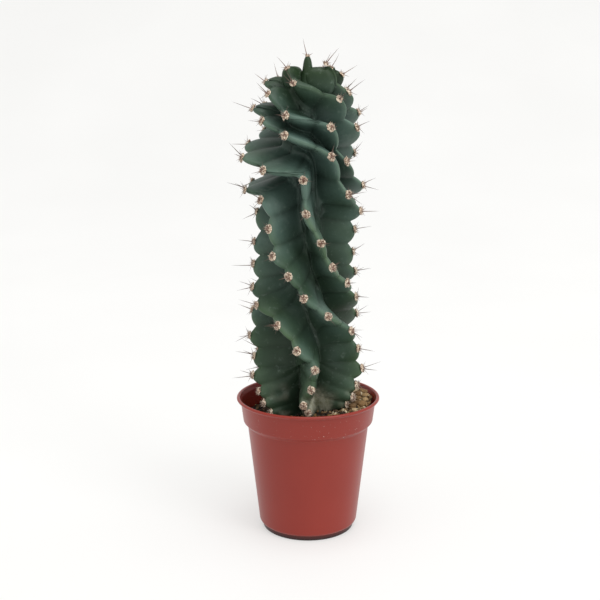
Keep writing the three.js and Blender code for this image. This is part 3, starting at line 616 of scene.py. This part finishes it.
# One lumpy pad on each areole, dark in its middle.
def makePads(rib, material):
    place, out, side, up, size, _ = areoleFrames(rib)
    rng = np.random.default_rng(300 + rib)
    points, faces = padTemplate()
    radius = (areolePlan["padRadius"] * size)[:, None]
    height = areolePlan["padHeight"] * size[:, None]
    basis = np.stack([side * radius * 0.95, up * radius * 1.08, out * height], axis=-1)
    allPoints, allFaces = repeatShape(points, faces, basis, place)
    middle = np.repeat(place, len(points), axis=0)
    lump = 1 + 0.16 * waves(allPoints, 2.4, 500 + rib) + 0.13 * waves(allPoints, 1.1, 520 + rib)
    allPoints = middle + (allPoints - middle) * lump[:, None]
    spread = np.hypot(points[:, 0], points[:, 1])
    heart = np.clip(1.5 - spread * 2.6, 0, 1)[None] * rng.uniform(0.7, 1, (len(place), 1))
    heart = heart + (waves(allPoints, 1.3, 540 + rib) > 0.55).reshape(len(place), -1) * 0.75
    pads = makePiece(f"areolePads_{ribLetters[rib]}", allPoints * mm, allFaces, material)
    paint(pads, "heart", np.clip(heart, 0, 1))
    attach(pads, "root")


# Copies of a thorn template as one piece. Each bends sideways more or less by chance.
def plantThorns(name, rng, template, start, heading, across, length, width, material, bend=1.0):
    points, faces, sway = template
    basis = np.stack([across * width, np.cross(heading, across) * width, heading * length], axis=-1)
    allPoints, allFaces = repeatShape(points, faces, basis, start)
    swing = (np.repeat(rng.normal(0, 1, len(start)), len(sway)) * np.tile(sway, len(start)))[:, None]
    allPoints = allPoints + np.repeat(across * length, len(sway), axis=0) * swing * bend
    return makePiece(name, allPoints * mm, allFaces, material)


# Short curled hairs standing out of every pad.
def makeWool(rib, material):
    place, out, side, up, size, _ = areoleFrames(rib)
    rng = np.random.default_rng(340 + rib)
    template = thornTemplate(3, 3, 0.5)
    owner = np.repeat(np.arange(len(place)), areolePlan["woolPerPad"])
    angle = rng.uniform(0, 2 * np.pi, len(owner))
    spread = np.sqrt(rng.uniform(0, 1, len(owner)))
    lean = spread * rng.uniform(0.6, 1.3, len(owner))
    way = side[owner] * np.cos(angle)[:, None] + up[owner] * np.sin(angle)[:, None]
    heading = unit(out[owner] + way * lean[:, None])
    across = unit(np.cross(heading, way + 0.01 * out[owner]))
    length = (areolePlan["woolLength"] * rng.uniform(0.6, 1.3, len(owner)) * size[owner])[:, None]
    sideways = spread * areolePlan["padRadius"] * size[owner] * 0.92
    outwards = areolePlan["padHeight"] * size[owner] * np.sqrt(1 - 0.85 * spread**2) * 0.9
    start = place[owner] + way * sideways[:, None] + out[owner] * outwards[:, None]
    wool = plantThorns(f"areoleWool_{ribLetters[rib]}", rng, template, start, heading, across, length,
                       areolePlan["woolRadius"], material)
    heartShare = np.clip(1.1 - spread * 3, 0, 1) * rng.uniform(0, 1, len(owner))
    paint(wool, "heart", np.repeat(heartShare, len(template[0])))
    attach(wool, "root")


# Spines of one rib: centrals that stand out, and shorter radials that fan round the pad.
def makeSpines(rib, material):
    plan = areolePlan
    place, out, side, up, _, above = areoleFrames(rib)
    rng = np.random.default_rng(380 + rib)
    template = thornTemplate(5, 4, 0.06)
    starts, headings, lengths, widths, tones = [], [], [], [], []
    for areole in np.flatnonzero(above >= plan["baldBelow"]):
        young = above[areole] > plan["youngAbove"]
        centrals = rng.integers(*plan["centrals"], endpoint=True)
        radials = rng.integers(*plan["radials"], endpoint=True)
        first = rng.uniform(0, 2 * np.pi)
        for number in range(centrals + radials):
            central = number < centrals
            if central:
                lean, angle = rng.uniform(*plan["centralLean"]), rng.uniform(0, 2 * np.pi)
                length = plan["centralLength"] * rng.uniform(*plan["centralSpread"])
                length *= 1 if number == 0 else plan["secondLength"]
            else:
                lean = rng.uniform(*plan["radialLean"])
                angle = first + (number - centrals) * 2 * np.pi / radials + rng.uniform(-0.25, 0.25)
                length = plan["radialLength"] * rng.uniform(*plan["radialSpread"])
            way = side[areole] * math.cos(angle) + up[areole] * math.sin(angle)
            headings.append(out[areole] * math.cos(lean) + way * math.sin(lean))
            starts.append(place[areole] + out[areole] * 0.9 + way * rng.uniform(0.3, 1.3))
            lengths.append(length * (plan["youngLength"] if young and not central else 1))
            width = plan["spineRadius"] * (1 if central else plan["radialWidth"])
            widths.append(width * rng.uniform(0.85, 1.1))
            tones.append(rng.uniform(0.5, 1) if young else rng.uniform(0, 0.5))
    heading = unit(np.array(headings))
    across = unit(np.cross(heading, rng.normal(size=heading.shape)))
    length, width = np.array(lengths)[:, None], np.array(widths)[:, None]
    spines = plantThorns(f"ribSpines_{ribLetters[rib]}", rng, template, np.array(starts), heading, across,
                         length, width, material)
    paint(spines, "along", np.tile(np.clip(template[0][:, 2], 0, 1), len(length)))
    paint(spines, "tone", np.repeat(tones, len(template[0])))
    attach(spines, "root")
    clusters = [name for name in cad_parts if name.startswith(f"spine_cluster_{ribLetters[rib]}")]
    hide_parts(*sorted(clusters))


potPlan = {
    "wall": 1.2,
    "lipWidth": 2.6,
    "lipDepth": 2.4,
    "lipUndercut": (0.8, 0.6),  # cut off the lip's lower edge, and its height where it meets the collar
    "lipBlend": (0.9, 1.2),  # width and height of the slope from the lip's inside to the collar
    "cornerRadius": 0.7,
    "collarTopRadius": 49.6,
    "collarBottomRadius": 47.7,
    "collarHeight": 18,
    "shoulderHeight": 3,
    "wallTopRadius": 44.6,
    "wallBottomRadius": 36.4,
    "bottomEdge": 3.2,
    "footRadius": 33.8,
    "footWidth": 2.2,
    "footHeight": 3.4,
    "floor": 1.6,
    "drainHoles": 6,
    "drainRadius": 4,
    "drainRing": 23,
    "drainSpan": (1.5, 7.5),  # from and to this height
    "drainSides": 24,
    "dustWidth": 1.6,  # half width of the dusty band at the collar's foot
    "footShade": [[-0.4, 0.8], [1, 0]],  # by height over the foot
    "segments": 192,
}


# Inner radius of the pot at a height, in millimetres.
def potInside(height):
    shoulder = rimMm - potPlan["collarHeight"]
    wallTop = shoulder - potPlan["shoulderHeight"]
    steps = [potPlan["footHeight"], wallTop, shoulder, rimMm - potPlan["lipDepth"]]
    names = ["wallBottomRadius", "wallTopRadius", "collarBottomRadius", "collarTopRadius"]
    return np.interp(height, steps, [potPlan[name] for name in names]) - potPlan["wall"]


# Rounds every corner of a profile with a short arc, so that edges catch the light. The arc is
# (1 - s)^2 start + 2 s (1 - s) corner + s^2 end.
def softenProfile(corners, radius, steps=4):
    corners = np.array(corners, float)
    rounded = [corners[0]]
    for before, corner, after in zip(corners[:-2], corners[1:-1], corners[2:]):
        back, ahead = before - corner, after - corner
        reach = min(radius, 0.45 * np.linalg.norm(back), 0.45 * np.linalg.norm(ahead))
        start, end = corner + unit(back) * reach, corner + unit(ahead) * reach
        for s in np.linspace(0, 1, steps + 1):
            rounded.append((1 - s) ** 2 * start + 2 * s * (1 - s) * corner + s**2 * end)
    rounded.append(corners[-1])
    return np.array(rounded)


# The pot's outline from under the floor, out and up to the lip, then down the inside to the floor.
def potProfile():
    plan = potPlan
    shoulder = rimMm - plan["collarHeight"]
    wallTop = shoulder - plan["shoulderHeight"]
    lipBottom = rimMm - plan["lipDepth"]
    lip = lipRadius / mm
    floorTop = plan["footHeight"] + plan["floor"]
    edge = plan["wallBottomRadius"] - plan["bottomEdge"]
    footInside = plan["footRadius"] - plan["footWidth"]
    corners = [(footInside, plan["footHeight"]), (footInside, 0), (plan["footRadius"], 0),
               (plan["footRadius"], plan["footHeight"])]
    angle = np.linspace(0.1, 1, 8) * np.pi / 2
    arc = np.column_stack([edge + plan["bottomEdge"] * np.sin(angle),
                           plan["footHeight"] + plan["bottomEdge"] * (1 - np.cos(angle))])
    corners += [tuple(point) for point in arc]
    chamfer, chamferHeight = plan["lipUndercut"]
    corners += [(plan["wallTopRadius"], wallTop), (plan["collarBottomRadius"], shoulder),
                (plan["collarTopRadius"], lipBottom - chamferHeight), (lip - chamfer, lipBottom)]
    roll = plan["lipWidth"] / 2
    corners += [(lip - roll + roll * math.cos(angle), rimMm - roll + roll * math.sin(angle))
                for angle in np.linspace(0, np.pi, 9)]
    blend, blendHeight = plan["lipBlend"]
    corners += [(lip - plan["lipWidth"] - blend, lipBottom - blendHeight),
                (plan["collarBottomRadius"] - plan["wall"], shoulder),
                (plan["wallTopRadius"] - plan["wall"], wallTop),
                (plan["wallBottomRadius"] - plan["wall"], floorTop + plan["bottomEdge"] / 2),
                (edge, floorTop)]
    return softenProfile(corners, plan["cornerRadius"])


# Turns a profile round the axis, with a pole at each end, both on the axis.
def turnProfile(profile, segments):
    angle = np.linspace(0, 360, segments, endpoint=False)
    grid = onTurn(profile[:, :1], angle[None], profile[:, 1:])
    first, last = [[0, 0, profile[0, 1]]], [[0, 0, profile[-1, 1]]]
    return np.concatenate([first, grid.reshape(-1, 3), last]), wrappedFaces(*grid.shape[:2])


potTones = {
    "plastic": [(0.3, (0.228, 0.0155, 0.0072)), (0.7, (0.258, 0.0195, 0.0095))],
    "streak": (0.32, 0.060, 0.035),
    "streakShare": 0.12,
    "dust": (0.75, 0.62, 0.55),
    "foot": (0.020, 0.004, 0.004),
    "roughness": (0.27, 0.16),
}


def potMaterial():
    material, tree, shader = newMaterial("terracottaPlastic", 0.34, Specular_IOR_Level=0.42)
    streak = noiseOf(tree, 60, 3, 0.6, stretch=(1, 1, 0.06))
    base = rampOf(tree, noiseOf(tree, 18, 3, 0.5), potTones["plastic"])
    pale = mathOf(tree, "MULTIPLY", streak, potTones["streakShare"])
    base = blendColors(tree, pale, base, potTones["streak"])
    dust = rampOf(tree, noiseOf(tree, 700, 2, 0.5), [(0.70, (0, 0, 0)), (0.76, (1, 1, 1))])
    dust = mathOf(tree, "MULTIPLY", dust, attributeOf(tree, "ledge"))
    base = blendColors(tree, dust, base, potTones["dust"])
    base = blendColors(tree, attributeOf(tree, "footShade"), base, potTones["foot"])
    setRoughness(tree, shader, streak, *potTones["roughness"])
    dress(tree, shader, base, noiseOf(tree, 1400, 2), 0.00008, 0.5)
    return material


# Short upright rods that cut the drain holes.
def drainCutter(material):
    radius, (low, high) = potPlan["drainRadius"], potPlan["drainSpan"]
    points, faces = ringShape([radius, radius], [low, high], potPlan["drainSides"], low, high)
    turns = np.arange(potPlan["drainHoles"]) * 360 / potPlan["drainHoles"]
    unturned = np.repeat(np.eye(3)[None], len(turns), axis=0)
    points, faces = repeatShape(points, faces, unturned, onTurn(potPlan["drainRing"], turns, 0.0))
    return makePiece("drainCutter", points * mm, faces, material)


def makePot():
    points, faces = turnProfile(potProfile(), potPlan["segments"])
    plastic = potMaterial()
    pot = makePiece("nurseryPot", points * mm, faces, plastic)
    tool = drainCutter(plastic)
    cut = pot.modifiers.new("drainHoles", "BOOLEAN")
    cut.operation, cut.object, cut.solver = "DIFFERENCE", tool, "EXACT"
    finished = bpy.data.meshes.new_from_object(pot.evaluated_get(bpy.context.evaluated_depsgraph_get()))
    pot.modifiers.clear()
    pot.data = finished
    pot.data.materials.clear()
    pot.data.materials.append(plastic)
    bpy.data.objects.remove(tool)
    height = np.empty(len(finished.vertices) * 3, np.float32)
    finished.vertices.foreach_get("co", height)
    height = height[2::3] / mm
    shoulder = rimMm - potPlan["collarHeight"]
    paint(pot, "ledge", np.exp(-(((height - shoulder) / potPlan["dustWidth"]) ** 2)))
    paint(pot, "footShade", np.interp(height - potPlan["footHeight"], *potPlan["footShade"]))
    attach(pot, "root")
    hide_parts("pot")
    print("pot made:", len(finished.polygons), "faces")


soilPlan = {
    "belowRim": 10.5,
    "tilt": 0.125,
    "mound": 0.8,
    "moundRadius": 16,
    "moundInset": 6,  # the heap's top from the wall, and as far behind the middle
    "gap": 0.35,
    "sideHeights": (40, 70, 78.5),  # of the rings of its side, over the lowest
    "bottomInset": 5.5,  # its bottom from the pot's outer wall
    "wallGap": 1.2,  # at the surface, from the pot's wall
    "stemGap": 0.9,
    "pocketDepth": 4,  # under the root stub's end
    "columns": 192,
    "topRings": 40,
    "pocketRings": 8,
    "crumbs": 1200,
    "fibres": 90,
    "fibreRadius": 0.16,
    "fibreLength": (3, 8),
    "fibreLift": 1.3,
}


# Height of the soil's smooth surface: a level, a tilt towards +X and a heap of exp(-distance^2).
def soilHeight(x, y):
    inset = soilPlan["moundInset"]
    heap = np.hypot(x - (potInside(rimMm) - inset), y - inset) / soilPlan["moundRadius"]
    return rimMm - soilPlan["belowRim"] + soilPlan["tilt"] * x + soilPlan["mound"] * np.exp(-heap**2)


# Inner radius of the pot at the soil's surface.
def soilEdge():
    return potInside(rimMm - soilPlan["belowRim"])


soilTones = {
    "peat": [(0.32, (0.010, 0.007, 0.005)), (0.52, (0.045, 0.026, 0.014)), (0.70, (0.13, 0.080, 0.040))],
    "grain": (0.34, 0.23, 0.12),
    "grainShare": 0.6,
    # crumbs, from the darkest to the palest
    "crumb": [(0.0, (0.014, 0.009, 0.006)), (0.3, (0.055, 0.030, 0.014)), (0.55, (0.24, 0.135, 0.050)),
              (0.8, (0.42, 0.28, 0.13)), (1.0, (0.66, 0.56, 0.38))],
    "crumbShade": [(0.25, (0.45, 0.42, 0.4)), (0.7, (1.1, 1.1, 1.1))],
}


def soilMaterial():
    material, tree, shader = newMaterial("dampPeatMix", 0.95)
    fine = noiseOf(tree, 700, 4, 0.7)
    color = rampOf(tree, noiseOf(tree, 140, 5, 0.65), soilTones["peat"])
    grains = rampOf(tree, fine, [(0.62, (0, 0, 0)), (0.72, (1, 1, 1))])
    grains = mathOf(tree, "MULTIPLY", grains, soilTones["grainShare"])
    color = blendColors(tree, grains, color, soilTones["grain"])
    dress(tree, shader, color, fine, 0.0012, 0.9)
    return material


def crumbMaterial():
    material, tree, shader = newMaterial("grittyCrumbs", 0.9)
    fine = noiseOf(tree, 1200, 3, 0.6)
    color = rampOf(tree, attributeOf(tree, "tone"), soilTones["crumb"])
    color = blendColors(tree, 1.0, color, rampOf(tree, fine, soilTones["crumbShade"]), "MULTIPLY")
    dress(tree, shader, color, fine, 0.0005, 0.8)
    return material


# A closed bed: bottom, side against the pot, rough top, and a pocket that holds the stem's foot.
# The top's roughness is a sum of three waves, and it dips where it meets the stem.
def makeSoil():
    columns = soilPlan["columns"]
    turn = np.linspace(0, 360, columns, endpoint=False)
    floorTop = potPlan["footHeight"] + potPlan["floor"] + soilPlan["gap"]
    edge = soilEdge() - soilPlan["wallGap"]
    rim = onTurn(edge, turn, 0.0)
    rim[:, 2] = soilHeight(rim[:, 0], rim[:, 1])
    foot, _, _ = stemReach(turn, rim[:, 2])
    inner = np.minimum(foot + soilPlan["stemGap"], edge - 1)
    base = [onTurn(potPlan["wallBottomRadius"] - soilPlan["bottomInset"], turn, floorTop)]
    for height in (floorTop + potPlan["bottomEdge"], *soilPlan["sideHeights"]):
        base.append(onTurn(potInside(height) - 2 * soilPlan["gap"], turn, height))
    share = np.linspace(0, 1, soilPlan["topRings"])[:, None]
    top = onTurn(edge + (inner - edge)[None] * share, turn[None], 0.0)
    top[..., 2] = soilHeight(top[..., 0], top[..., 1])
    rough = 0.55 * waves(top, 7, 11) + 0.45 * waves(top, 3.2, 12) + 0.3 * waves(top, 1.6, 13)
    top[..., 2] += rough - 0.8 * np.exp(-((1 - share) / 0.12) ** 2)
    down = np.linspace(0, 1, soilPlan["pocketRings"] + 1)[1:, None]
    pocketFloor = rimMm - stemPlan["belowRim"] - stemPlan["rootLength"] - soilPlan["pocketDepth"]
    pocketReach = inner[None] * (1 - down) + (stemPlan["rootRadius"] + 1) * down
    pocket = onTurn(pocketReach, turn[None], top[-1:, :, 2] * (1 - down) + pocketFloor * down)
    grid = np.concatenate([np.array(base), top, pocket])
    points = np.concatenate([[[0, 0, floorTop]], grid.reshape(-1, 3), [[0, 0, pocketFloor]]])
    soil = makePiece("soilBed", points * mm, wrappedFaces(*grid.shape[:2]), soilMaterial())
    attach(soil, "root")
    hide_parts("soil")


# A lump with a few dozen faces: a ball of rings whose points are pushed in and out by waves.
def lumpTemplate(rings, sides, seed):
    angle = np.arange(1, rings + 1) / (rings + 1) * np.pi
    points, faces = ringShape(np.sin(angle), -np.cos(angle), sides, -1.0, 1.0)
    return points * (1 + 0.2 * waves(points, 1.4, seed, 6))[:, None], faces


# Matrices of random turns: three axes at right angles.
def randomTurns(rng, count):
    axes = unit(rng.normal(size=(count, 3)))
    helper = unit(np.cross(axes, rng.normal(size=(count, 3))))
    return np.stack([axes, helper, np.cross(axes, helper)], axis=-1)


# Free places on the soil between the stem's foot and the pot's wall: six tries for each one wanted.
def soilPlaces(rng, count, margin, low=0, high=360):
    turn = rng.uniform(low, high, count * 6)
    reach = np.sqrt(rng.uniform(0, 1, count * 6)) * (soilEdge() - margin)
    place = onTurn(reach, turn, 0.0)
    place[:, 2] = soilHeight(place[:, 0], place[:, 1])
    foot, _, _ = stemReach(turn, place[:, 2])
    return place[reach > foot + margin][:count]


# Small crumbs of three shapes, half of them on the right, where they are larger, paler and heaped.
def makeCrumbs(material):
    rng = np.random.default_rng(71)
    parts, faces, tones, used = [], [], [], 0
    for seed in (1, 2, 3):
        points, template = lumpTemplate(3, 6, seed)
        share = soilPlan["crumbs"] // 6
        place = np.concatenate([soilPlaces(rng, share, 1.2), soilPlaces(rng, share, 1.2, 30, 150)])
        golden = np.clip(0.5 + place[:, 0] / 60, 0.15, 1)
        size = rng.uniform(0.5, 1.5, len(place)) * (0.8 + 0.5 * golden)
        lift = rng.uniform(0, 0.9, len(place)) + rng.uniform(0, 2.2, len(place)) * (golden > 0.9)
        place[:, 2] += lift
        turns = randomTurns(rng, len(place))
        stretch = size[:, None] * rng.uniform(0.6, 1.2, (len(place), 3))
        allPoints, allFaces = repeatShape(points, template, turns * stretch[:, None, :], place)
        parts.append(allPoints)
        faces.append([part + used for part in allFaces])
        used += len(allPoints)
        tone = np.clip(rng.normal(0.12 + 0.46 * golden, 0.27), 0, 1)
        tones.append(np.repeat(tone, len(points)))
    joined = [np.concatenate([entry[kind] for entry in faces]) for kind in range(2)]
    crumbs = makePiece("soilCrumbs", np.concatenate(parts) * mm, joined, material, smooth=False)
    paint(crumbs, "tone", np.concatenate(tones))
    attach(crumbs, "root")


# Fine roots and straw that lie over the soil, each a thin thread with a bend.
def makeFibres(material):
    rng = np.random.default_rng(74)
    template = thornTemplate(3, 6, 0.35)
    half = soilPlan["fibres"] // 2
    place = np.concatenate([soilPlaces(rng, half, 2, 40, 140), soilPlaces(rng, half, 2, 180, 350)])
    turn = rng.uniform(0, 2 * np.pi, len(place))
    heading = unit(np.stack([np.cos(turn), np.sin(turn), rng.uniform(-0.1, 0.35, len(place))], axis=-1))
    across = unit(np.cross(heading, [0, 0, 1.0]))
    length = rng.uniform(*soilPlan["fibreLength"], (len(place), 1))
    place = place - heading * length / 2 + [0, 0, soilPlan["fibreLift"]]
    ends = place + heading * length
    outermost = np.maximum(np.hypot(place[:, 0], place[:, 1]), np.hypot(ends[:, 0], ends[:, 1]))
    keep = outermost < soilEdge() - 1.5
    place, heading, across, length = place[keep], heading[keep], across[keep], length[keep]
    fibres = plantThorns("soilFibres", rng, template, place, heading, across, length,
                         soilPlan["fibreRadius"], material, 0.6)
    paint(fibres, "tone", np.repeat(rng.uniform(0.4, 0.9, len(place)), len(template[0])))
    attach(fibres, "root")


# The loose grains stand where the frame's grains are, with a finer, rougher surface. They are only
# pitted inwards.
def makeGrit(material):
    rng = np.random.default_rng(72)
    names = sorted(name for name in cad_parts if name.startswith("grit_grain"))
    points, template = lumpTemplate(9, 14, 5)
    boxes = [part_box(name) for name in names]
    middle = np.array([(low + high) / 2 for low, high in boxes]) / mm
    extent = np.array([high - low for low, high in boxes]) / mm / 2
    allPoints, allFaces = repeatShape(points, template, extent[:, None, :] * np.eye(3), middle)
    centre = np.repeat(middle, len(points), axis=0)
    pitted = 0.9 + 0.14 * waves(allPoints, 2.4, 81) + 0.08 * waves(allPoints, 1.0, 82)
    allPoints = centre + (allPoints - centre) * np.minimum(pitted, 1.0)[:, None]
    grains = makePiece("gritGrains", allPoints * mm, allFaces, material)
    paint(grains, "tone", np.repeat(rng.uniform(0.45, 0.95, len(names)), len(points)))
    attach(grains, "root")
    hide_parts(*names)


# Metres and watts.
roomPlan = {
    "floorHalf": 3.0,
    "floorPoints": 40,  # along each side
    "bendFrom": 0.9,  # the floor starts to rise here, behind the plant
    "bendRise": 1.2,
    "floorTones": [(0.3, (0.37, 0.37, 0.365)), (0.7, (0.39, 0.39, 0.385))],
    "floorGlow": 0.50,
    "worldStrength": 0.80,
    # place, aim, size and power of each lamp
    "lamps": {
        "softTop": ((0.3, -0.6, 3.0), (0, 0, 0.15), 2.0, 42),
        "softRight": ((2.4, -2.2, 2.2), (0, 0, 0.2), 1.6, 36),
    },
    "cameraPlace": (0, -0.736, 0.3275),
    "cameraTilt": 0.2088,  # radians below level
    "lens": 62.4,
    "shift": -0.01345,
}


# A floor that bends up behind the plant by the square of the distance.
def makeStage():
    half, count, bend = roomPlan["floorHalf"], roomPlan["floorPoints"], roomPlan["bendFrom"]
    line = np.linspace(-1, 1, count)
    across, back = np.meshgrid(line * half, line * half)
    rise = roomPlan["bendRise"] * np.clip((back - bend) / (half - bend), 0, 1) ** 2
    points = np.stack([across, back, rise], axis=-1).reshape(-1, 3)
    index = np.arange(count * count).reshape(count, count)
    quads = np.stack([index[:-1, :-1], index[:-1, 1:], index[1:, 1:], index[1:, :-1]], axis=-1)
    glow = {"Emission_Color": (1, 0.995, 0.98, 1), "Emission_Strength": roomPlan["floorGlow"]}
    material, tree, shader = newMaterial("paleFloor", 0.7, **glow)
    tree.links.new(rampOf(tree, noiseOf(tree, 3, 2), roomPlan["floorTones"]), shader.inputs["Base Color"])
    floor = makePiece("paleFloor", points, [quads.reshape(-1, 4)], material)


def makeLight():
    world = bpy.data.worlds.new("paleRoom")
    world.use_nodes = True
    sky = world.node_tree.nodes["Background"].inputs
    sky["Color"].default_value = (1.0, 1.0, 0.99, 1)
    sky["Strength"].default_value = roomPlan["worldStrength"]
    bpy.context.scene.world = world
    for name, (place, aim, size, power) in roomPlan["lamps"].items():
        lamp = bpy.data.lights.new(name, "AREA")
        lamp.energy, lamp.size = power, size
        holder = bpy.data.objects.new(name, lamp)
        holder.location = place
        holder.rotation_euler = (Vector(aim) - Vector(place)).to_track_quat("-Z", "Y").to_euler()
        bpy.context.scene.collection.objects.link(holder)


def makeCamera():
    camera = bpy.data.cameras.new("view")
    camera.sensor_width = 36
    camera.lens = roomPlan["lens"]
    camera.shift_x = roomPlan["shift"]
    holder = bpy.data.objects.new("view", camera)
    holder.location = roomPlan["cameraPlace"]
    holder.rotation_euler = (math.pi / 2 - roomPlan["cameraTilt"], 0, 0)
    bpy.context.scene.collection.objects.link(holder)
    bpy.context.scene.camera = holder


makeCamera()
makeStem()
felt, horn = feltMaterial(), spineMaterial()
for rib in range(len(ribs)):
    makePads(rib, felt)
    makeWool(rib, felt)
    makeSpines(rib, horn)
print("areoles made")
makePot()
makeSoil()
crumbTone = crumbMaterial()
makeCrumbs(crumbTone)
makeFibres(crumbTone)
makeGrit(crumbTone)
print("soil and grit made")
makeStage()
makeLight()
bpy.context.scene.view_settings.view_transform = "Standard"
print("stage, light and camera made")
